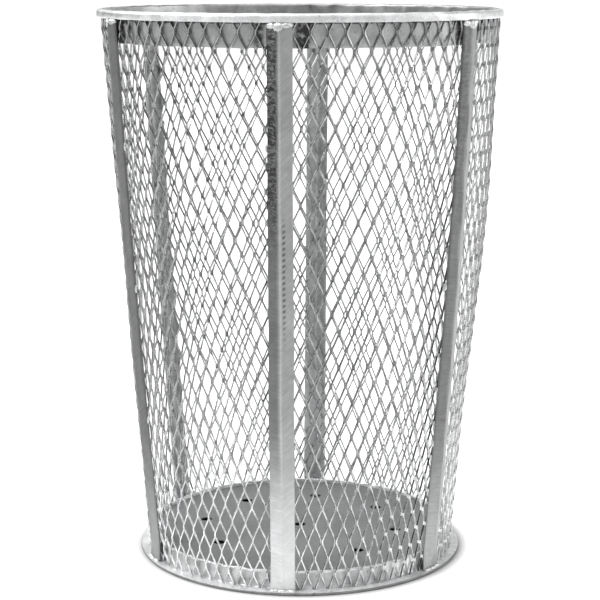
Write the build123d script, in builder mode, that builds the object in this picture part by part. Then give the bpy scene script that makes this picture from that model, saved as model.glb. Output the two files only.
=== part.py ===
from build123d import *
from math import atan2, cos, degrees, radians, sin, sqrt
import os

os.makedirs("parts", exist_ok=True)

# Tapered expanded-metal litter basket, open at the top, all welded, hot-dip galvanised.
# Millimetres. Z is up, the origin is at the centre of the underside of the base ring,
# and strut_1 stands on the -Y side.

# ---- overall sizes -------------------------------------------------------------------
height = 825.0            # ground to top of the rim
rim_dia = 600.0           # outside of the rolled rim
base_dia = 496.0          # outside of the base flange

# ---- expanded metal ------------------------------------------------------------------
mesh_t = 3.0              # thickness of the mesh sheet
strand_w = 3.0            # width of one strand
lip_clear = 2.5           # from the mesh sheet out to the rim's lip, at the rim's top
flange_reach = 13.5       # from the mesh sheet out to the flange's edge, at ground level
diamonds_per_bay = 13     # diamonds across one bay, from strut to strut
diamond_pitch = 51.2      # long way of the diamond, up the slope
mesh_seat = 1.0           # from the mesh sheet to the rim leg, and to the struts
mesh_top_gap = 1.0        # from the top of the mesh to the rim web; its foot is on the flange
seam_gap = 0.6            # between two mesh panels, behind a strut
seam_strip = 2.2          # solid edge of a panel along its seam
end_strip = 4.0           # solid edge of a panel along its top and bottom

# ---- rim -----------------------------------------------------------------------------
rim_t = 3.0               # sheet of the rim
rim_leg = 46.0            # height of the inner leg, from the top of the rim
rim_drop = 12.0           # height of the outer lip, from the top of the rim
rim_bend = 5.0            # outside bend radius of the lip

# ---- base ring and floor ---------------------------------------------------------------
flange_t = 4.5            # thickness of the flange that stands on the ground
base_leg_t = 3.0          # thickness of the upright leg
base_leg_top = 30.0       # ground to top of the base ring's upright leg
floor_top = 26.0          # ground to top of the floor plate, which lies inside that leg
floor_t = 1.5             # thickness of the floor plate
leg_seat = 1.3            # from the upright leg out to the mesh sheet, at the flange
drain_dia = 18.0          # drain holes
drain_circle = 300.0      # circle of the outer drain holes
drain_count = 8           # holes on that circle
drain_turn = 86.2         # where the first of them lies, from +X
centre_drain_dia = 18.0   # hole in the middle of the floor

# ---- struts ----------------------------------------------------------------------------
strut_count = 6
strut_w = 36.0            # width across the two edges
strut_depth = 9.0         # from the edges to the ridge
strut_t = 3.0             # strip that the strut is bent from
strut_ridge_r = 3.2       # outside bend radius of the ridge

# ---- weld beads ------------------------------------------------------------------------
weld_leg = 4.0            # leg of a fillet weld
weld_len = 13.0           # length of the bead along each strut face

# ---- derived places --------------------------------------------------------------------
mesh_top_r = rim_dia / 2 - rim_t - lip_clear - mesh_t / 2
mesh_base_r = base_dia / 2 - flange_reach - mesh_t / 2
slope = (mesh_top_r - mesh_base_r) / height
slope_angle = degrees(atan2(mesh_top_r - mesh_base_r, height))


def mesh_r(z):
    """Radius of the middle of the mesh sheet at height z."""
    return mesh_base_r + slope * z


bay = 360.0 / strut_count
mesh_half = mesh_t / 2 / cos(radians(slope_angle))
mesh_bottom = flange_t
mesh_top = height - rim_t - mesh_top_gap
leg_bottom = height - rim_leg
lip_bottom = height - rim_drop
leg_out_top = mesh_r(height) - mesh_half - mesh_seat
leg_out_bottom = mesh_r(leg_bottom) - mesh_half - mesh_seat
base_leg_r = mesh_r(flange_t) - mesh_half - leg_seat

# ---- rim: inner leg, flat web and turned-down outer lip ---------------------------------
with BuildPart() as top_ring:
    with BuildSketch(Plane.XZ) as rim_profile:
        with BuildLine():
            Polyline(
                (leg_out_bottom - rim_t, leg_bottom),
                (leg_out_top - rim_t, height),
                (rim_dia / 2, height),
                (rim_dia / 2, lip_bottom),
                (rim_dia / 2 - rim_t, lip_bottom),
                (rim_dia / 2 - rim_t, height - rim_t),
                (leg_out_top, height - rim_t),
                (leg_out_bottom, leg_bottom),
                close=True,
            )
        make_face()
        corners = rim_profile.vertices().group_by(Axis.Y)[-1].sort_by(Axis.X)
        fillet(corners[-1], rim_bend)
        corners = rim_profile.vertices().group_by(Axis.Y)[-1].sort_by(Axis.X)
        fillet(corners[0], rim_t)
    revolve(axis=Axis.Z)
top_ring.part.label = "top_ring"
export_step(top_ring.part, "parts/top_ring.step")

# ---- base ring: ground flange with an upright leg round the floor ------------------------
with BuildPart() as base_ring:
    with BuildSketch(Plane.XZ) as base_profile:
        with BuildLine():
            Polyline(
                (base_leg_r - base_leg_t, 0),
                (base_dia / 2, 0),
                (base_dia / 2, flange_t),
                (base_leg_r, flange_t),
                (base_leg_r, base_leg_top),
                (base_leg_r - base_leg_t, base_leg_top),
                close=True,
            )
        make_face()
        rim_corner = base_profile.vertices().sort_by(Axis.X)[-2:].sort_by(Axis.Y)[-1]
        fillet(rim_corner, flange_t / 3)
    revolve(axis=Axis.Z)
base_ring.part.label = "base_ring"
export_step(base_ring.part, "parts/base_ring.step")

# ---- floor plate with its drain holes ----------------------------------------------------
with BuildPart() as floor_plate:
    with BuildSketch(Plane.XY.offset(floor_top - floor_t)):
        Circle(base_leg_r - base_leg_t)
        Circle(centre_drain_dia / 2, mode=Mode.SUBTRACT)
        with PolarLocations(drain_circle / 2, drain_count, start_angle=drain_turn):
            Circle(drain_dia / 2, mode=Mode.SUBTRACT)
    extrude(amount=floor_t)
floor_plate.part.label = "floor_plate"
export_step(floor_plate.part, "parts/floor_plate.step")


# ---- struts: bent strip, ridge outward, standing on the flange under the lip --------------
def strut_section(z):
    """Corners of the bent strip at height z, ridge towards -Y."""
    edge = strut_w / 2
    face_r = mesh_r(z) + mesh_half + mesh_seat
    seat = sqrt(face_r ** 2 - edge ** 2)
    run = sqrt(edge ** 2 + (strut_depth - strut_t) ** 2)
    thick = strut_t * run / edge
    return [
        (-edge, -seat),
        (0, -(seat + strut_depth - thick)),
        (edge, -seat),
        (edge, -(seat + strut_t)),
        (0, -(seat + strut_depth)),
        (-edge, -(seat + strut_t)),
    ]


with BuildPart() as strut_blank:
    for level in (flange_t, lip_bottom):
        with BuildSketch(Plane.XY.offset(level)) as section:
            with BuildLine():
                Polyline(*strut_section(level), close=True)
            make_face()
            fillet(section.vertices().sort_by(Axis.Y)[0], strut_ridge_r)
    loft(ruled=True)

for n in range(strut_count):
    with BuildPart() as strut:
        add(strut_blank.part, rotation=(0, 0, n * bay))
    strut.part.label = "strut_%d" % (n + 1)
    export_step(strut.part, "parts/strut_%d.step" % (n + 1))

# ---- fillet welds: both faces of every strut to the base flange ----------------------------
corner_a, corner_b = [Vector(x, y, flange_t) for x, y in strut_section(flange_t)[3:5]]
face_run = (corner_b - corner_a).normalized()
face_out = face_run.cross(Vector(0, 0, -1))
face_lean = slope * weld_leg * abs(face_out.Y)

with BuildPart() as weld_blank:
    with BuildSketch(Plane(origin=(corner_a + corner_b) / 2, x_dir=face_out, z_dir=face_run)):
        Polygon((0, 0), (weld_leg, 0), (face_lean, weld_leg), align=None)
    extrude(amount=weld_len / 2, both=True)
    mirror(about=Plane.YZ)

with BuildPart() as foot_welds:
    with PolarLocations(0, strut_count):
        add(weld_blank.part)
foot_welds.part.label = "foot_welds"
export_step(foot_welds.part, "parts/foot_welds.step")

# ---- expanded-metal panel: one bay, from strut to strut -----------------------------------
column = radians(bay / diamonds_per_bay)
bend = column / 2         # the sheet turns a little at every line of bonds
rise = diamond_pitch * cos(radians(slope_angle))
mesh_mid = (mesh_top + mesh_bottom) / 2
rows = int((mesh_top - mesh_bottom - 2 * end_strip) / rise)


def slope_plane(turn, z):
    """Plane on the mesh sheet: its X runs round the basket and its Y up the slope."""
    ray = Vector(cos(turn), sin(turn), 0)
    across = Vector(-sin(turn), cos(turn), 0)
    normal = ray * cos(radians(slope_angle)) - Vector(0, 0, sin(radians(slope_angle)))
    return Plane(origin=ray * mesh_r(z) + Vector(0, 0, z), x_dir=across, z_dir=normal)


def diamond(z, side):
    """Corners of one opening at height z; side 0 is whole, +1 or -1 is half at a seam."""
    half_w = mesh_r(z) * column / 2
    half_h = diamond_pitch / 2
    length = sqrt(half_w ** 2 + half_h ** 2)
    cut_w = half_w - strand_w / 2 * length / half_h
    cut_h = half_h - strand_w / 2 * length / half_w
    if side == 0:
        return [(-cut_w, 0), (0, -cut_h), (cut_w, 0), (0, cut_h)]
    edge = cut_h * (1 - seam_strip / cut_w)
    return [(side * seam_strip, -edge), (side * cut_w, 0), (side * seam_strip, edge)]


def trimmed(corners, limit, sign):
    """The part of a convex outline where sign * y is at most sign * limit."""
    kept = []
    for (ax, ay), (bx, by) in zip(corners, corners[1:] + corners[:1]):
        if sign * (ay - limit) <= 0:
            kept.append((ax, ay))
        if (ay - limit) * (by - limit) < 0:
            kept.append((ax + (bx - ax) * (limit - ay) / (by - ay), limit))
    return kept


openings = []
low = mesh_bottom + end_strip
high = mesh_top - end_strip
lean = cos(radians(slope_angle))
for step in range(-rows - 3, rows + 4):
    z = mesh_mid + step * rise / 2
    for place in range(2 * diamonds_per_bay + 1):
        if (place + step) % 2 == 0:
            continue
        side = {0: 1, 2 * diamonds_per_bay: -1}.get(place, 0)
        outline = trimmed(diamond(z, side), (low - z) / lean, -1)
        outline = trimmed(outline, (high - z) / lean, 1)
        levels = [y for x, y in outline]
        if not outline or max(levels) - min(levels) < 2 * strand_w:
            continue
        turn = radians(-90) + place * bend
        with BuildSketch(slope_plane(turn, z)) as opening:
            Polygon(*outline, align=None)
        openings.append(extrude(opening.sketch, amount=2 * mesh_t, both=True))



def facet(turn, level):
    """Plane of one flat of the sheet, moved outward by level, with its Z pointing out."""
    plane = slope_plane(radians(-90) + turn, mesh_mid)
    return Plane(origin=plane.origin + plane.z_dir * level, x_dir=plane.x_dir, z_dir=plane.z_dir)


def seam_plane(turn, sign):
    """Upright plane half a seam gap inside the bay, with its Z pointing out of the bay."""
    along = Vector(sin(turn), -cos(turn), 0)
    across = Vector(cos(turn), sin(turn), 0) * sign
    return Plane(origin=across * (-seam_gap / 2), x_dir=along, z_dir=across)


def bay_block(level):
    """All of the bay inside the sheet surface that lies level outside the sheet's middle."""
    with BuildPart() as block:
        with BuildSketch(Plane.XY.offset(mesh_bottom)):
            Rectangle(rim_dia, rim_dia, align=(Align.MIN, Align.MAX))
        extrude(amount=mesh_top - mesh_bottom)
        split(bisect_by=seam_plane(0, -1), keep=Keep.BOTTOM)
        split(bisect_by=seam_plane(radians(bay), 1), keep=Keep.BOTTOM)
        for k in range(2 * diamonds_per_bay):
            split(bisect_by=facet((k + 0.5) * bend, level), keep=Keep.BOTTOM)
    return block.part


with BuildPart() as panel_blank:
    add(bay_block(mesh_t / 2))
    add(bay_block(-mesh_t / 2), mode=Mode.SUBTRACT)
with BuildPart() as mesh_blank:
    add(panel_blank.part)
    add(openings, mode=Mode.SUBTRACT)
for n in range(strut_count):
    with BuildPart() as panel:
        add(mesh_blank.part, rotation=(0, 0, n * bay))
    panel.part.label = "mesh_panel_%d" % (n + 1)
    export_step(panel.part, "parts/mesh_panel_%d.step" % (n + 1), write_pcurves=False)
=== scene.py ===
import bpy
import math
import numpy as np
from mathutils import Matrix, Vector


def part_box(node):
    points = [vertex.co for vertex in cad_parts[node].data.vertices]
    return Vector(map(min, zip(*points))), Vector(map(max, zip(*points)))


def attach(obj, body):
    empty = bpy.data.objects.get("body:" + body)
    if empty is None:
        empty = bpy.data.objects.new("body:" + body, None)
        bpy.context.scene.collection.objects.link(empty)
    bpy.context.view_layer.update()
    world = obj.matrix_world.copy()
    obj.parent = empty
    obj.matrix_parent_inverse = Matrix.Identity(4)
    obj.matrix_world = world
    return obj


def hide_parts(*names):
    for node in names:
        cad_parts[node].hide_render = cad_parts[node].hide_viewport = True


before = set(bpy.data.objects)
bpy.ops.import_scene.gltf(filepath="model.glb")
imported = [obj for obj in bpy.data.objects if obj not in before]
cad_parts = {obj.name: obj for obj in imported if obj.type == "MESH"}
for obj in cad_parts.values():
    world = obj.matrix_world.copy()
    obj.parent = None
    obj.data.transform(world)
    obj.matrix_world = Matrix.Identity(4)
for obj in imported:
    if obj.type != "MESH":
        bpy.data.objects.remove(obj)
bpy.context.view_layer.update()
rng = np.random.default_rng(7)


def node_points(name):
    """The corner points of one CAD node, as rows of x, y, z."""
    return np.array([v.co[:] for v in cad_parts[name].data.vertices])


def radii(points):
    return np.hypot(points[:, 0], points[:, 1])


# ---------------------------------------------------------------- sizes, most read from the CAD parts
rim_lo, rim_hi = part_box("top_ring")
_, base_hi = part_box("base_ring")
strut_lo, strut_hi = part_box("strut_1")
H = rim_hi.z
RIM_R = rim_hi.x
RIM_LEG_Z = rim_lo.z               # lower edge of the band inside the rim
BASE_R = base_hi.x
BASE_LEG_TOP = base_hi.z
FLANGE_T = strut_lo.z
LIP_Z = strut_hi.z                 # lower edge of the rim's turned-down lip
STRUT_HALF = strut_hi.x
STRUTS = 6
BAY = 2 * math.pi / STRUTS
FRONT = -math.pi / 2               # strut_1 stands at this turn from +X

strut_pts = node_points("strut_1")
APEX_LOW = -strut_pts[strut_pts[:, 2] < FLANGE_T + 0.001][:, 1].min()
APEX_HIGH = -strut_pts[strut_pts[:, 2] > LIP_Z - 0.001][:, 1].min()
ring_pts = node_points("top_ring")
RIM_IN = radii(ring_pts)[ring_pts[:, 2] > H - 0.004].min()
BAND_IN = radii(ring_pts).min()
base_pts = node_points("base_ring")
BASE_LEG_R = radii(base_pts)[base_pts[:, 2] > BASE_LEG_TOP - 0.002].max()

MESH_R0, MESH_R1 = 0.233, 0.293    # middle of the mesh sheet, at the ground and at the rim
SLOPE = (MESH_R1 - MESH_R0) / H


def mesh_r(z):
    return MESH_R0 + SLOPE * z


# ---------------------------------------------------------------- slow waves of hand-made work
WAVE_COUNT = 9
WAVES = [(int(k), float(q), float(p)) for k, q, p in
         zip(rng.integers(2, 14, WAVE_COUNT), rng.uniform(2, 22, WAVE_COUNT),
             rng.uniform(0, 6.28, WAVE_COUNT))]

BULGE_AT = 1.5 * BAY               # the bent bay's middle, from strut_1
BULGE_OUT = 0.0088
BULGE_Z, BULGE_REACH = 0.53, 0.34  # its middle height, and how far it reaches up and down


def wave(turn, z, first=0, last=WAVE_COUNT):
    """A smooth value of about -1 to 1 that varies round and up the basket."""
    total = sum(math.sin(k * turn + q * z + p) for k, q, p in WAVES[first:last])
    return total / math.sqrt(last - first)


def bulge(turn, z):
    """How far the sheet stands out of its cone: one bay was bent outward in use."""
    az = (turn - FRONT) % (2 * math.pi)
    share = max(0.0, 1 - abs(az - BULGE_AT) / (0.5 * BAY))
    share = math.sin(share * math.pi / 2) ** 2
    high = max(0.0, 1 - abs(z - BULGE_Z) / BULGE_REACH)
    return share * BULGE_OUT * math.sin(high * math.pi / 2) ** 1.4


# ---------------------------------------------------------------- helpers
def new_mesh(name, verts, faces, smooth=True, marks=None):
    """A mesh object; marks are named numbers, one for each vertex, that its material reads."""
    me = bpy.data.meshes.new(name)
    me.from_pydata([tuple(map(float, v)) for v in verts], [], [tuple(map(int, f)) for f in faces])
    me.validate()
    me.update()
    if smooth:
        me.polygons.foreach_set("use_smooth", [True] * len(me.polygons))
    for key, values in (marks or {}).items():
        me.attributes.new(key, "FLOAT", "POINT").data.foreach_set("value", values)
    ob = bpy.data.objects.new(name, me)
    bpy.context.scene.collection.objects.link(ob)
    return ob


def add_piece(ob, mat, replaces=()):
    ob.data.materials.clear()
    ob.data.materials.append(mat)
    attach(ob, "root")
    if replaces:
        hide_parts(*replaces)


def tube(verts, faces, rings, closed=False):
    """Skin a list of rings of points that all have the same count."""
    base = len(verts)
    n = len(rings[0])
    for ring in rings:
        verts.extend(ring)
    count = len(rings)
    for i in range(count if closed else count - 1):
        a, b = base + i * n, base + ((i + 1) % count) * n
        for j in range(n):
            k = (j + 1) % n
            faces.append((a + j, a + k, b + k, b + j))
    if not closed:
        faces.append(tuple(base + j for j in range(n - 1, -1, -1)))
        faces.append(tuple(base + (count - 1) * n + j for j in range(n)))


def polar(turn, r, z):
    return Vector((r * math.cos(turn), r * math.sin(turn), z))


def round_and_across(turn):
    """Unit vectors outward and along the circle, at this turn."""
    return (np.array([math.cos(turn), math.sin(turn)]),
            np.array([-math.sin(turn), math.cos(turn)]))


# ---------------------------------------------------------------- materials
class Graph:
    """A new material, and short names for its nodes."""

    def __init__(self, name):
        self.mat = bpy.data.materials.new(name)
        self.mat.use_nodes = True
        self.tree = self.mat.node_tree
        self.bsdf = self.tree.nodes["Principled BSDF"]
        self.coord = self.tree.nodes.new("ShaderNodeTexCoord").outputs["Object"]

    def link(self, a, b):
        self.tree.links.new(a, b)

    def fill(self, sockets, values):
        """Set each socket to a number, or link it to another node's output."""
        for socket, value in zip(sockets, values):
            if isinstance(value, (int, float)):
                socket.default_value = value
            else:
                self.link(value, socket)

    def noise(self, scale, detail, rough, vector=None, distortion=0.0):
        node = self.tree.nodes.new("ShaderNodeTexNoise")
        node.inputs["Scale"].default_value = scale
        node.inputs["Detail"].default_value = detail
        node.inputs["Roughness"].default_value = rough
        node.inputs["Distortion"].default_value = distortion
        self.link(vector or self.coord, node.inputs["Vector"])
        return node.outputs["Fac"]

    def remap(self, value, lo, hi, to_lo, to_hi, smooth=False):
        node = self.tree.nodes.new("ShaderNodeMapRange")
        if smooth:
            node.interpolation_type = "SMOOTHSTEP"
        node.inputs["From Min"].default_value = lo
        node.inputs["From Max"].default_value = hi
        node.inputs["To Min"].default_value = to_lo
        node.inputs["To Max"].default_value = to_hi
        self.link(value, node.inputs["Value"])
        return node.outputs["Result"]

    def math(self, kind, a, b=0.0):
        node = self.tree.nodes.new("ShaderNodeMath")
        node.operation = kind
        self.fill(node.inputs, (a, b))
        return node.outputs["Value"]

    def plus(self, a, b):
        return self.math("ADD", a, b)

    def times(self, *values):
        """The product of two values or more."""
        total = values[0]
        for value in values[1:]:
            total = self.math("MULTIPLY", total, value)
        return total

    def dimmed(self, value, by):
        """The value, less the given share of itself."""
        return self.times(value, self.math("SUBTRACT", 1.0, by))

    def axis(self, name):
        node = self.tree.nodes.new("ShaderNodeSeparateXYZ")
        self.link(self.coord, node.inputs["Vector"])
        return node.outputs[name]

    def length(self):
        """Distance from the origin."""
        node = self.tree.nodes.new("ShaderNodeVectorMath")
        node.operation = "LENGTH"
        self.link(self.coord, node.inputs[0])
        return node.outputs["Value"]

    def mark(self, name):
        node = self.tree.nodes.new("ShaderNodeAttribute")
        node.attribute_name = name
        return node.outputs["Fac"]

    def vector(self, x, y, z):
        node = self.tree.nodes.new("ShaderNodeCombineXYZ")
        self.fill(node.inputs, (x, y, z))
        return node.outputs["Vector"]

    def gray(self, value):
        """Base colour from a brightness of 0 to 1, with the faint blue of zinc."""
        node = self.tree.nodes.new("ShaderNodeValToRGB")
        node.color_ramp.elements[0].color = (0, 0, 0, 1)
        node.color_ramp.elements[1].color = (0.985, 0.995, 1.0, 1)
        self.link(value, node.inputs["Fac"])
        self.link(node.outputs["Color"], self.bsdf.inputs["Base Color"])

    def bump(self, height, strength, distance):
        node = self.tree.nodes.new("ShaderNodeBump")
        node.inputs["Strength"].default_value = strength
        node.inputs["Distance"].default_value = distance
        self.link(height, node.inputs["Height"])
        self.link(node.outputs["Normal"], self.bsdf.inputs["Normal"])

    def set(self, values):
        for key, value in values.items():
            self.bsdf.inputs[key].default_value = value


def zinc(name, dark, light, rough, metal, cloud, bump, grain=420.0, specks=0.0,
         speck_scale=150.0, burns_and_painted_light=False, edge_shaded=False, low=None):
    """Hot-dip zinc: cloudy brightness, fine grain and small pits.

    cloud, grain and speck_scale are how fine each pattern is, and specks is how dark a pit is.
    scorched reads the rim's marks: weld burns, painted shade under the lip and on the band, and a
    painted highlight on the lip's front; edged reads the base's painted shade on the flange's
    outer face; and low brightens the lower part, a painted reflection of the pale floor.
    """
    g = Graph(name)
    g.set({"Metallic": metal})
    clouds = g.noise(cloud, 5.0, 0.62, distortion=0.6)
    fine = g.noise(grain, 3.0, 0.7)
    value = g.remap(clouds, 0.32, 0.68, dark, light)
    value = g.times(value, g.remap(fine, 0.3, 0.7, 0.86, 1.12))
    if specks:
        spots = g.noise(speck_scale, 2.0, 0.5)
        value = g.times(value, g.remap(spots, 0.66, 0.72, 1.0, 1.0 - specks))
    if burns_and_painted_light:
        ragged = g.remap(g.noise(140.0, 4.0, 0.6), 0.35, 0.6, 0.35, 1.3)
        # weld burns, and painted shade on the band just under the lip
        burn_and_lip_shade = g.remap(g.times(g.mark("burns_and_lip_shade"), ragged), 0.15, 0.75, 1.0, 0.10)
        # painted shade on the band's inner face and on its back behind the mesh
        value = g.times(value, burn_and_lip_shade, g.remap(g.mark("inside"), 0.0, 1.0, 1.0, 0.6))
        # painted highlight on the front of the lip, with less metal there
        value = g.plus(value, g.times(g.mark("lip"), 0.12))
        g.link(g.remap(g.mark("lip"), 0.0, 1.0, metal, 0.3), g.bsdf.inputs["Metallic"])
    if low:
        # painted reflection of the pale floor: brighter toward the bottom
        value = g.times(value, g.remap(g.axis("Z"), 0.34, 0.10, 1.0, low, smooth=True))
    if edge_shaded:
        # painted shade on the flange's upright outer face
        value = g.times(value, g.remap(g.mark("edge"), 0.0, 1.0, 1.0, 0.32))
    g.gray(value)
    g.link(g.remap(clouds, 0.3, 0.7, rough[0], rough[1]), g.bsdf.inputs["Roughness"])
    g.bump(g.plus(g.times(clouds, 0.6), g.times(fine, 0.4)), bump, 0.0012)
    return g.mat


def strut_zinc():
    """Bent strip: slanting brush marks, dark zinc ripples high on a shaded face, painted shade on
    that face, a painted highlight on the ridge, and a foot brightened as a painted reflection of
    the pale floor.

    Its marks are across, from -1 to 1 over the strip; shade, for a face turned from the light;
    dash, for the strip with a row of dashes; and tone, each strip's brightness, partly its own
    zinc and partly painted light and shade.
    """
    g = Graph("zinc_strut")
    g.set({"Metallic": 0.85})
    z = g.axis("Z")
    across = g.mark("across")
    shade = g.mark("shade")
    clouds = g.noise(26.0, 5.0, 0.6, distortion=1.0)

    # brush marks rise from the ridge to both edges, and more on the right face
    rise_right = g.times(g.math("MAXIMUM", across), 5.5)
    rise_left = g.times(g.math("MINIMUM", across), -1.2)
    brush_z = g.math("SUBTRACT", g.times(z, 330.0), g.plus(rise_right, rise_left))
    brush_at = g.vector(across, brush_z, 0.0)
    brush = g.noise(1.0, 3.0, 0.62, vector=brush_at, distortion=0.4)
    ripples_at = g.vector(g.times(across, 1.8), g.times(z, 180.0), shade)
    ripples = g.noise(1.0, 4.0, 0.6, vector=ripples_at, distortion=1.6)

    upper = g.remap(z, 0.46, 0.60, 0.0, 1.0, smooth=True)
    lower = g.remap(z, 0.27, 0.07, 0.0, 1.0, smooth=True)
    value = g.remap(clouds, 0.3, 0.7, 0.46, 0.62)
    value = g.times(value, g.remap(brush, 0.3, 0.7, 0.86, 1.12))
    rippled = g.times(g.remap(ripples, 0.45, 0.60, 1.0, 0.0), g.times(upper, shade))
    value = g.dimmed(value, g.times(rippled, 0.75))
    value = g.dimmed(value, g.times(shade, g.remap(lower, 0.0, 0.7, 0.50, 0.0)))
    # painted highlight: a lighter strip along the ridge, fading out toward the foot
    ridge = g.remap(g.math("ABSOLUTE", across), 0.05, 0.12, 1.0, 0.0)
    value = g.plus(value, g.times(ridge, g.remap(lower, 0.0, 0.8, 0.16, 0.0)))
    # painted reflection of the pale floor: brighter toward the foot
    value = g.plus(value, g.times(lower, 0.20))

    # a short row of dashes up one face
    beat = g.math("SINE", g.plus(g.times(z, 785.0), g.times(across, -7.0)))
    dash = g.times(g.remap(beat, -0.3, 0.3, 0.0, 1.0),
                   g.remap(across, 0.14, 0.20, 0.0, 1.0), g.remap(across, 0.42, 0.34, 0.0, 1.0),
                   g.mark("dash"),
                   g.remap(z, 0.56, 0.53, 0.0, 1.0), g.remap(z, 0.36, 0.42, 0.0, 1.0))
    value = g.dimmed(value, g.times(dash, 0.6))
    g.gray(g.times(value, g.mark("tone_and_light")))
    g.link(g.remap(clouds, 0.3, 0.7, 0.34, 0.50), g.bsdf.inputs["Roughness"])
    ripple_height = g.times(ripples, g.times(upper, shade, 2.0))
    g.bump(g.plus(g.times(brush, 0.4), ripple_height), 0.6, 0.0014)
    return g.mat


# low makes the lower strands brighter, a painted reflection of the pale floor
mesh_mat = zinc("zinc_mesh", 0.28, 0.60, (0.16, 0.28), metal=1.0, cloud=70.0, bump=0.25,
                grain=600.0, low=1.42)
rim_mat = zinc("zinc_rim", 0.56, 0.86, (0.26, 0.42), metal=0.75, cloud=45.0, bump=0.5,
               specks=0.3, burns_and_painted_light=True)
base_mat = zinc("zinc_base", 0.56, 0.90, (0.26, 0.42), metal=0.5, cloud=38.0, bump=0.4,
                specks=0.45, edge_shaded=True)
weld_mat = zinc("zinc_weld", 0.62, 1.0, (0.2, 0.4), metal=0.6, cloud=160.0, bump=0.8,
                specks=0.85, speck_scale=420.0)
floor_mat = zinc("zinc_floor", 0.235, 0.33, (0.5, 0.66), metal=0.55, cloud=9.0, bump=0.25,
                 grain=260.0, specks=0.35)
strut_mat = strut_zinc()

# ---------------------------------------------------------------- expanded metal
COLS = 150                         # lines of bonds round the basket
PER_BAY = COLS // STRUTS
FIRST = math.radians(1.3)          # turn from strut_1 to the first line of bonds
RISE = 0.0258                      # height from one level of bonds to the next
TOP_LEVEL = 0.800                  # height of the first level of bonds below the rim
STRAND_W = 0.0029
STRAND_T = 0.0024
BOND = 0.0044                      # length of a bond
TILT = math.radians(58)            # how far a strand stands out of the sheet
CHAMFER = 0.00045
MESH_Z0 = FLANGE_T + 0.0003
MESH_Z1 = H - 0.0042
CLIP = 0.002                       # a row this near an end is moved onto it; others are left out
SWAY_R, SWAY_TURN, SWAY_Z = 0.0006, 0.0007, 0.0006         # how uneven the sheet is
SWAY_FADE = 0.05                   # height over which that dies out at each end
# between two bonds: share of the way up, and share of the way across
STRAND_BENDS = ((0.045, 0.025), (0.11, 0.095), (0.30, 0.295), (0.50, 0.5),
                (0.70, 0.705), (0.89, 0.905), (0.955, 0.975))


def strand_path(strip):
    """(height, side) down one zigzag strand; side is 0 at its left bonds and 1 at its right."""
    path = []
    level = int((TOP_LEVEL - MESH_Z0) / RISE) + 2
    half = BOND / 2
    run = RISE - BOND
    while level >= -2:
        z = TOP_LEVEL - RISE * level
        right = (strip + level) % 2 == 0
        start, flip = (1.0, -1.0) if right else (0.0, 1.0)
        path += [(z - half, start), (z, start), (z + half, start)]
        path += [(z + half + run * up, start + flip * over) for up, over in STRAND_BENDS]
        level -= 1
    return path


def expanded_bay(bay):
    """One bay of raised expanded metal: upright zigzag strands that meet at tilted bonds."""
    verts, faces = [], []
    cw, ct, ch = STRAND_W / 2, STRAND_T / 2, CHAMFER
    section = [(-cw + ch, -ct), (cw - ch, -ct), (cw, -ct + ch), (cw, ct - ch),
               (cw - ch, ct), (-cw + ch, ct), (-cw, ct - ch), (-cw, -ct + ch)]
    cos_t, sin_t = math.cos(TILT), math.sin(TILT)
    for s in range(PER_BAY):
        strip = bay * PER_BAY + s
        rings = []
        for z, side in strand_path(strip):
            if not MESH_Z0 - CLIP < z < MESH_Z1 + CLIP:
                continue
            z = min(max(z, MESH_Z0), MESH_Z1)
            turn = FRONT + FIRST + (strip + side) / COLS * 2 * math.pi
            fade = min(1.0, (z - MESH_Z0) / SWAY_FADE, (MESH_Z1 - z) / SWAY_FADE)
            r = mesh_r(z) + bulge(turn, z) + SWAY_R * wave(turn, z, 0, 5) * fade
            turn += SWAY_TURN * wave(turn, z, 4, 9) * fade / r
            z += SWAY_Z * wave(turn + 1.0, z, 2, 8) * fade
            off = (0.5 - side) * STRAND_W * 0.96       # strands just overlap at a bond
            er, et = round_and_across(turn + off * cos_t / r)
            pts = []
            for u, v in section:
                dt = u * cos_t - v * sin_t
                dr = u * sin_t + v * cos_t
                p = er * (r + off * sin_t + dr) + et * dt
                pts.append((p[0], p[1], z - dr * SLOPE))
            rings.append(pts)
        tube(verts, faces, rings)
    return new_mesh("expanded_bay_%d" % (bay + 1), verts, faces, smooth=False)


for bay in range(STRUTS):
    add_piece(expanded_bay(bay), mesh_mat, ("mesh_panel_%d" % (bay + 1),))

# ---------------------------------------------------------------- struts
STRUT_T = 0.003
STRUT_DEPTH = 0.009
RIDGE_R = 0.0034
EDGE_R = 0.0008
STRUT_BOW = 0.0034                 # how far a strut bows outward half-way up
FOOT_H = 0.032                     # the foot is beaten flatter up to this height
FOOT_FLAT = 0.62                   # share of the depth lost there
# one value for each strut, from strut_1
STRUT_TONE_AND_LIGHT = (0.79, 0.50, 0.72, 1.15, 0.80, 0.38)          # how bright it is: partly its own zinc, partly painted light and shade for how it stands to the lamps
STRUT_BEND = (1.0, 1.0, 0.8, 0.8, 1.0, 0.8)                # its share of the bow
STRUT_SKEW = (0.0033, -0.0065, -0.0015, 0.001, 0.0, 0.0095)     # how far its head leans sideways
SKEW_POWER = (1.0, 3.0, 1.0, 1.0, 1.0, 3.5)                # how late on the way up it leans
STRUT_SHADE = (1.0, 0.3, 0.3, 0.3, 0.3, 0.3)               # how dark its left face is
STRUT_DASH = (1.0, 0.0, 0.0, 0.0, 0.0, 0.0)                # 1 where it has the row of dashes


def lean(index, t):
    """Sideways lean of a strut at share t of its height."""
    return STRUT_SKEW[index] * t ** SKEW_POWER[index]


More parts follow.
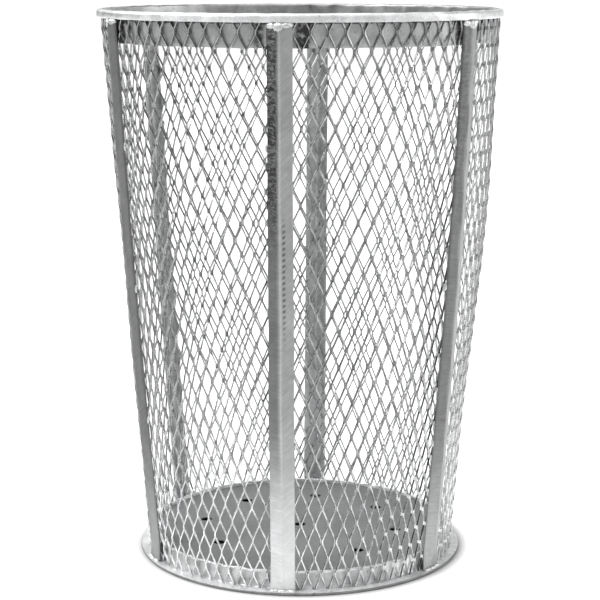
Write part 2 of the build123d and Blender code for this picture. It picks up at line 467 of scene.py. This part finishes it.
def strut_outline(depth, half, thick):
    """Closed V section: x across, y outward from the strip's inner edges."""
    fall = math.atan2(depth, half)
    drop = RIDGE_R * (1 / math.cos(fall) - 1)
    ridge = [(RIDGE_R * math.sin(t), thick + depth - drop + RIDGE_R * (math.cos(t) - 1))
             for t in np.linspace(-fall, fall, 7)]
    x1, y1 = ridge[-1]
    edge = (half - EDGE_R, thick + EDGE_R * 0.5)
    right = [(x1 + (edge[0] - x1) * f, y1 + (edge[1] - y1) * f) for f in (0.3, 0.6, 0.85)]
    right += [edge, (half, thick - EDGE_R * 0.7), (half, EDGE_R), (half - EDGE_R, 0.0)]
    left = [(-x, y) for x, y in reversed(right)]
    inner = [(half * 0.45, depth * 0.55), (0.0, depth), (-half * 0.45, depth * 0.55)]
    return ridge + right + inner + left


def add_strut(index):
    verts, faces, rings = [], [], []
    across, shade = [], []
    er, et = round_and_across(FRONT + index * BAY)
    seed = index * 1.7
    levels = np.concatenate([np.linspace(FLANGE_T, 0.06, 16), np.linspace(0.066, LIP_Z, 150)])
    for z in levels:
        t = (z - FLANGE_T) / (LIP_Z - FLANGE_T)
        bow = STRUT_BOW * STRUT_BEND[index] * math.sin(math.pi * min(1.0, t * 1.02))
        apex = APEX_LOW + (APEX_HIGH - APEX_LOW) * t + bow
        flat = 1.0 - FOOT_FLAT * max(0.0, 1 - (z - FLANGE_T) / FOOT_H) ** 1.3
        depth = (STRUT_DEPTH - STRUT_T) * flat
        half = STRUT_HALF * (1.0 + 0.03 * (1 - flat) - 0.045 * t)      # wide foot, narrow head
        half += 0.00025 * wave(seed, z * 6, 0, 4)
        aside = lean(index, t) + 0.0003 * wave(seed, z * 2.2, 1, 6)
        pts = []
        for j, (x, y) in enumerate(strut_outline(depth, half, STRUT_T)):
            dent = 0.00022 * wave(seed + j * 0.35, z * 5, 3, 9)
            rad = apex - STRUT_T - depth + y + dent - (1 - flat) * 0.0012
            p = er * rad + et * (x + aside)
            across.append(x / STRUT_HALF)
            shade.append(STRUT_SHADE[index] if x < -0.0012 else 0.0)
            pts.append((p[0], p[1], z))
        rings.append(pts)
    tube(verts, faces, rings)
    count = len(verts)
    marks = {"across": across, "shade": shade, "dash": [STRUT_DASH[index]] * count,
             "tone_and_light": [STRUT_TONE_AND_LIGHT[index]] * count}
    ob = new_mesh("strut_%d_strip" % (index + 1), verts, faces, marks=marks)
    add_piece(ob, strut_mat, ("strut_%d" % (index + 1),))


for n in range(STRUTS):
    add_strut(n)


# ---------------------------------------------------------------- rings turned round the axis
def arc_points(cx, cy, r, a0, a1, n):
    """Points of an arc in a profile, from angle a0 to a1 in degrees."""
    return [(cx + r * math.cos(math.radians(a)), cy + r * math.sin(math.radians(a)))
            for a in np.linspace(a0, a1, n)]


def turned(name, profile, steps, wobble_r, wobble_z, weight, marks=None):
    """A closed profile swept round, with hand-made waviness where weight says so."""
    verts, faces, rings = [], [], []
    for i in range(steps):
        turn = 2 * math.pi * i / steps
        pts = []
        for r, z in profile:
            w = weight(r, z)
            rr = r + wobble_r * w * wave(turn * 3, z * 9, 0, 6)
            zz = z + wobble_z * w * wave(turn * 4 + 2, r * 9, 3, 9)
            pts.append((rr * math.cos(turn), rr * math.sin(turn), zz))
        rings.append(pts)
    tube(verts, faces, rings, closed=True)
    values = {key: [rule(math.atan2(y, x), math.hypot(x, y), z) for x, y, z in verts]
              for key, rule in (marks or {}).items()}
    return new_mesh(name, verts, faces, marks=values)


RIM_T = 0.003
LIP_R = 0.005                      # bend from the web to the lip
BEND_R = 0.0028                    # bend from the band to the web
HEM_R = 0.0012                     # rounding of the lip's lower edge
INNER_TOP = mesh_r(H) - 0.0025 - RIM_T
FACE_SKIN = 0.0015                 # points this near the band's inner face count as on it
BACK_END = RIM_IN + 0.0075         # the band's outer face ends here, below the web


def band_r(z):
    """Radius of the band's inner face at a height."""
    return BAND_IN + (INNER_TOP - BAND_IN) * (z - RIM_LEG_Z) / (H - RIM_LEG_Z)


def is_band_face(r, z):
    return r < band_r(z) + FACE_SKIN


def is_band_back(r, z):
    """On the outer face of the band, which the mesh covers."""
    return not is_band_face(r, z) and r < BACK_END


def burns_and_lip_shade(turn, r, z):
    """Weld burns on the band: a long patch to the right of each strut, a short one to the left;
    and painted shade on a strip just under the lip.
    """
    if not is_band_back(r, z):
        return 0.0
    # painted shade: the band's strip just under the lip
    if z > LIP_Z - 0.0022:
        return 0.75
    az = (turn - FRONT + BAY / 2) % BAY - BAY / 2
    which = round(((turn - FRONT) / BAY) % STRUTS)
    spread = 0.011 + 0.002 * math.sin(which * 2.0)
    long = math.exp(-((az * MESH_R1 - 0.034) / spread) ** 2)
    short = 0.7 * math.exp(-((az * MESH_R1 + 0.026) / 0.008) ** 2)
    return min(1.0, long + short)


def lip(turn, r, z):
    """Painted highlight: the lip is made brightest where it faces the front."""
    if r < RIM_R - 0.0055:
        return 0.0
    return min(1.0, max(0.0, (math.cos(turn - FRONT - 0.12) - 0.45) / 0.35))


def inside(turn, r, z):
    """Painted shade: the band is darker than the rest, on its inner face most of all, and on its
    back behind the mesh.
    """
    if is_band_face(r, z):
        return 1.0
    return 0.85 if is_band_back(r, z) and z < LIP_Z else 0.0


def rim_profile():
    """Band, web and turned-down lip, from the band's foot round to its outer face."""
    foot = 0.0006
    low, high = RIM_LEG_Z, H - RIM_T
    outer_top, outer_low = INNER_TOP + RIM_T, BAND_IN + RIM_T
    points = [(outer_low, low + foot), (outer_low - foot, low)]
    points += [(BAND_IN + foot, low), (BAND_IN, low + foot)]
    points += [(BAND_IN + (INNER_TOP - BAND_IN) * f, low + (H - low) * f)
               for f in (0.25, 0.5, 0.75, 0.9)]
    points += arc_points(INNER_TOP + BEND_R, H - BEND_R, BEND_R, 175, 90, 5)
    points += arc_points(RIM_R - LIP_R, H - LIP_R, LIP_R, 90, 0, 8)
    points += [(RIM_R, LIP_Z + 0.004), (RIM_R, LIP_Z + HEM_R)]
    points += arc_points(RIM_R - HEM_R, LIP_Z + HEM_R, HEM_R, 0, -90, 4)[1:]
    points += arc_points(RIM_R - RIM_T + 0.0008, LIP_Z + 0.0008, 0.0008, -90, -180, 3)
    points += [(RIM_R - RIM_T, high - 0.0015), (RIM_R - RIM_T - 0.0015, high)]
    points += [(outer_top + (outer_low - outer_top) * f, high + (low - H + RIM_T) * f)
               for f in (0.0, 0.1, 0.22, 0.30, 0.34, 0.45, 0.6, 0.75, 0.9)]
    return points[::-1]


def rim_weight(r, z):
    return 1.0 if r < RIM_R - 0.006 else 0.45


BASE_T = 0.003
BASE_IN = BASE_LEG_R - BASE_T


def base_profile():
    """Flange outward on the ground, and a leg up inside the mesh."""
    points = [(BASE_IN, 0.0004), (BASE_IN + 0.0004, 0.0)]
    points += [(BASE_R - 0.0012, 0.0)] + arc_points(BASE_R - 0.0012, 0.0012, 0.0012, -60, 0, 3)
    points += arc_points(BASE_R - 0.0016, FLANGE_T - 0.0016, 0.0016, 0, 90, 5)
    points += [(BASE_LEG_R + 0.002, FLANGE_T), (BASE_LEG_R + 0.0006, FLANGE_T + 0.0006),
               (BASE_LEG_R, FLANGE_T + 0.002)]
    points += [(BASE_LEG_R, BASE_LEG_TOP - 0.0006), (BASE_LEG_R - 0.0006, BASE_LEG_TOP)]
    points += [(BASE_IN + 0.0006, BASE_LEG_TOP), (BASE_IN, BASE_LEG_TOP - 0.0006)]
    return points


def flange_face_shade(turn, r, z):
    """Painted shade on the flange's upright outer face."""
    return 1.0 if r > BASE_R - 0.0007 else 0.0


rim = turned("rim", rim_profile(), 720, 0.00035, 0.00030, rim_weight,
             {"burns_and_lip_shade": burns_and_lip_shade, "lip": lip, "inside": inside})
add_piece(rim, rim_mat, ("top_ring",))

base = turned("base_flange", base_profile(), 480, 0.0, 0.0, lambda r, z: 0.0,
              {"edge": flange_face_shade})
add_piece(base, base_mat, ("base_ring",))

# the weld run along the top of the leg, which holds the floor plate inside it
seam_profile = arc_points(BASE_LEG_R - BASE_T / 2, BASE_LEG_TOP - 0.0008, 0.0021, 0, 320, 9)
floor_seam = turned("floor_seam", seam_profile, 480, 0.0006, 0.0004, lambda r, z: 1.0)
add_piece(floor_seam, weld_mat)

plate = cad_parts["floor_plate"]
plate.data.materials.clear()
plate.data.materials.append(floor_mat)


# ---------------------------------------------------------------- weld beads
def bead(verts, faces, centre, along, out, length, width, height, seed, steps=14, sides=10):
    """A lumpy bead centred on a point, built as rings that swell and sink."""
    along = Vector(along).normalized()
    out = Vector(out).normalized()
    side = along.cross(out).normalized()
    local = np.random.default_rng(seed)
    phase = local.uniform(0, 6.28)
    rings = []
    for i in range(steps):
        f = (i + 0.5) / steps
        swell = math.sin(math.pi * f) ** 0.45 * (0.88 + 0.12 * math.sin(phase + i * 2.1))
        mid = Vector(centre) + along * (f - 0.5) * length
        pts = []
        for j in range(sides):
            a = 2 * math.pi * j / sides
            k = swell * (1 + 0.06 * local.standard_normal())
            p = mid + side * (math.cos(a) * width / 2 * k) + out * (math.sin(a) * height * k)
            pts.append(tuple(p))
        rings.append(pts)
    tube(verts, faces, rings)


FOOT_BEADS = (-0.0118, 0.0, 0.0118)                        # where each lies across the foot
FOOT_BEAD = (0.0135, 0.0064, 0.0040)                       # length, width, height
TACK_Z = (0.215, 0.430, 0.640)
TACK_BEAD = (0.012, 0.0040, 0.0020)
# place across the head, length and width of each; their height is the same
HEAD_BEADS = ((-0.0120, 0.013, 0.010), (-0.0020, 0.014, 0.014),
              (0.0085, 0.013, 0.009), (0.0150, 0.008, 0.007))
HEAD_BEAD_H = 0.0030

foot_v, foot_f = [], []
top_v, top_f = [], []
tack_v, tack_f = [], []
for n in range(STRUTS):
    turn0 = FRONT + n * BAY
    er, et = polar(turn0, 1, 0), polar(turn0 + math.pi / 2, 1, 0)
    # foot: a lumpy weld right across the flattened end
    for k, x in enumerate(FOOT_BEADS):
        rad = APEX_LOW + 0.0004 - abs(x) * 0.14
        mid = er * rad + et * x + Vector((0, 0, FLANGE_T + 0.0004))
        bead(foot_v, foot_f, mid, et, er * 0.7 + Vector((0, 0, 0.7)), *FOOT_BEAD, 10 + n * 4 + k)
    # head: a broad lumpy weld where the strut meets the lip
    for k, (x, length, width) in enumerate(HEAD_BEADS):
        drop = abs(x) / STRUT_HALF * (STRUT_DEPTH - STRUT_T)
        mid = (er * (APEX_HIGH - 0.0014 - drop) + et * (x + lean(n, 1.0))
               + Vector((0, 0, LIP_Z - width * 0.42)))
        along = et - er * (0.3 if x > 0 else -0.3)
        bead(top_v, top_f, mid, along, er, length, width, HEAD_BEAD_H, 60 + n * 5 + k)
    # tacks to the mesh down both edges of the strut
    for sgn in (-1, 1):
        for z in TACK_Z:
            z = z + 0.012 * math.sin(n * 2.3 + z * 40)
            t = (z - FLANGE_T) / (LIP_Z - FLANGE_T)
            bow = STRUT_BOW * math.sin(math.pi * t)
            rad = APEX_LOW + (APEX_HIGH - APEX_LOW) * t + bow - STRUT_DEPTH
            mid = (er * (rad + 0.0006) + et * (sgn * (STRUT_HALF + 0.0008) + lean(n, t))
                   + Vector((0, 0, z)))
            bead(tack_v, tack_f, mid, (0, 0, 1), er + et * sgn, *TACK_BEAD,
                 200 + n * 20 + int(z * 100) + sgn)
add_piece(new_mesh("foot_beads", foot_v, foot_f), weld_mat, ("foot_welds",))
add_piece(new_mesh("head_beads", top_v, top_f), weld_mat)
add_piece(new_mesh("tack_beads", tack_v, tack_f), weld_mat)

# the butt weld of the rim
SEAM_TURN = FRONT + math.radians(66.5)
seam_v, seam_f = [], []
bead(seam_v, seam_f, polar(SEAM_TURN, (RIM_R + INNER_TOP) / 2, H - 0.0003),
     polar(SEAM_TURN, 1, 0), (0, 0, 1), RIM_R - INNER_TOP - 0.003, 0.0045, 0.0009, 900)
add_piece(new_mesh("rim_seam", seam_v, seam_f), weld_mat)

# ---------------------------------------------------------------- stage
STAGE_HALF = 12.0
STAGE_Z = -0.0005


def add_stage():
    """A pale floor that glows: a painted pool of light round the basket and behind it, a painted
    glow rising toward +X, and a painted contact shadow under and just round the base.
    """
    s, z = STAGE_HALF, STAGE_Z
    me = bpy.data.meshes.new("stage_floor")
    me.from_pydata([(-s, -s, z), (s, -s, z), (s, s, z), (-s, s, z)], [], [(0, 1, 2, 3)])
    ob = bpy.data.objects.new("stage_floor", me)
    bpy.context.scene.collection.objects.link(ob)
    g = Graph("stage_floor")
    g.set({"Roughness": 1.0, "Specular IOR Level": 0.0, "Emission Color": (1, 1, 1, 1)})
    reach = g.length()
    # painted pool of light: the glow is strongest near the basket and behind it, and rises toward
    # +X
    near = g.remap(reach, 0.70, 0.30, 0.0, 1.0, smooth=True)
    behind = g.remap(g.axis("Y"), -0.05, 0.5, 0.0, 1.0, smooth=True)
    bright = g.math("MAXIMUM", near, behind)
    level = g.plus(g.times(bright, 0.80), g.remap(g.axis("X"), -0.4, 1.2, 0.02, 0.16))
    # painted contact shadow: the glow dies out just round the base
    level = g.times(level, g.remap(reach, BASE_R + 0.001, BASE_R + 0.022, 0.0, 1.0))
    g.link(level, g.bsdf.inputs["Emission Strength"])
    # painted shadow: the floor's own colour goes dark under the basket
    g.link(g.remap(reach, BASE_R - 0.012, BASE_R, 0.03, 0.6), g.bsdf.inputs["Base Color"])
    me.materials.append(g.mat)


add_stage()

# soft boxes that the metal reflects: direction, inner and outer half angle, and level
LOBES = (((-0.70, 0.30, 0.65), 12, 34, 3.2),
         ((-0.60, -0.45, 0.75), 8, 28, 4.2),
         ((0.95, -0.30, 0.30), 6, 20, 0.4),
         ((0.98, 0.20, 0.25), 10, 32, 2.4),
         ((0.50, -0.68, 0.60), 6, 28, 1.2),
         ((0.1, -0.1, 1.0), 12, 40, 1.2),
         ((0.1, 1.0, 0.15), 12, 45, 0.8))
ROOM_LEVEL = 0.03                  # the dark room between them
BACKDROP_LEVEL = 1.05              # what the eye sees behind the basket


def add_studio():
    """White backdrop for the eye, and a darker room with soft boxes for the metal to reflect."""
    world = bpy.data.worlds.new("studio")
    world.use_nodes = True
    tree = world.node_tree
    bg = tree.nodes["Background"]
    coord = tree.nodes.new("ShaderNodeTexCoord")

    def add(a, b):
        node = tree.nodes.new("ShaderNodeMath")
        node.operation = "ADD"
        tree.links.new(a, node.inputs[0])
        if isinstance(b, float):
            node.inputs[1].default_value = b
        else:
            tree.links.new(b, node.inputs[1])
        return node.outputs["Value"]

    def lobe(direction, inner, outer, level):
        dot = tree.nodes.new("ShaderNodeVectorMath")
        dot.operation = "DOT_PRODUCT"
        tree.links.new(coord.outputs["Generated"], dot.inputs[0])
        dot.inputs[1].default_value = Vector(direction).normalized()
        spread = tree.nodes.new("ShaderNodeMapRange")
        spread.interpolation_type = "SMOOTHSTEP"
        spread.inputs["From Min"].default_value = math.cos(math.radians(outer))
        spread.inputs["From Max"].default_value = math.cos(math.radians(inner))
        spread.inputs["To Min"].default_value = 0.0
        spread.inputs["To Max"].default_value = level
        tree.links.new(dot.outputs["Value"], spread.inputs["Value"])
        return spread.outputs["Result"]

    total = lobe(*LOBES[0])
    for args in LOBES[1:]:
        total = add(total, lobe(*args))
    room = add(total, ROOM_LEVEL)
    path = tree.nodes.new("ShaderNodeLightPath")
    mix = tree.nodes.new("ShaderNodeMix")
    mix.data_type = "FLOAT"
    mix.inputs["B"].default_value = BACKDROP_LEVEL
    tree.links.new(path.outputs["Is Camera Ray"], mix.inputs["Factor"])
    tree.links.new(room, mix.inputs["A"])
    tree.links.new(mix.outputs["Result"], bg.inputs["Strength"])
    bg.inputs["Color"].default_value = (1, 1, 1, 1)
    bpy.context.scene.world = world


add_studio()


def area_light(name, place, target, size, power):
    data = bpy.data.lights.new(name, "AREA")
    data.shape = "RECTANGLE"
    data.size, data.size_y = size
    data.energy = power
    ob = bpy.data.objects.new(name, data)
    bpy.context.scene.collection.objects.link(ob)
    ob.location = place
    aim = Vector(target) - Vector(place)
    ob.rotation_euler = aim.to_track_quat("-Z", "Y").to_euler()


area_light("key", (-2.0, -1.6, 2.6), (0, 0, 0.45), (1.4, 1.4), 20)
area_light("top", (0.2, 0.3, 3.2), (0, 0, 0.3), (2.0, 2.0), 14)

# ---------------------------------------------------------------- camera
CAM_TURN = math.radians(5.9)       # to the right of strut_1
CAM_D, CAM_Z = 2.597, 0.887        # distance from the axis, and height
CAM_PITCH = math.radians(10.96)    # downward
SENSOR = 36.0
FOCAL_PX, IMAGE_PX = 1728.0, 600.0
cam_data = bpy.data.cameras.new("camera")
cam_data.sensor_width = SENSOR
cam_data.lens = FOCAL_PX * SENSOR / IMAGE_PX
cam = bpy.data.objects.new("camera", cam_data)
bpy.context.scene.collection.objects.link(cam)
cam.location = (CAM_D * math.sin(CAM_TURN), -CAM_D * math.cos(CAM_TURN), CAM_Z)
cam.rotation_euler = (math.pi / 2 - CAM_PITCH, 0, CAM_TURN)
bpy.context.scene.camera = cam

bpy.context.scene.view_settings.view_transform = "Standard"
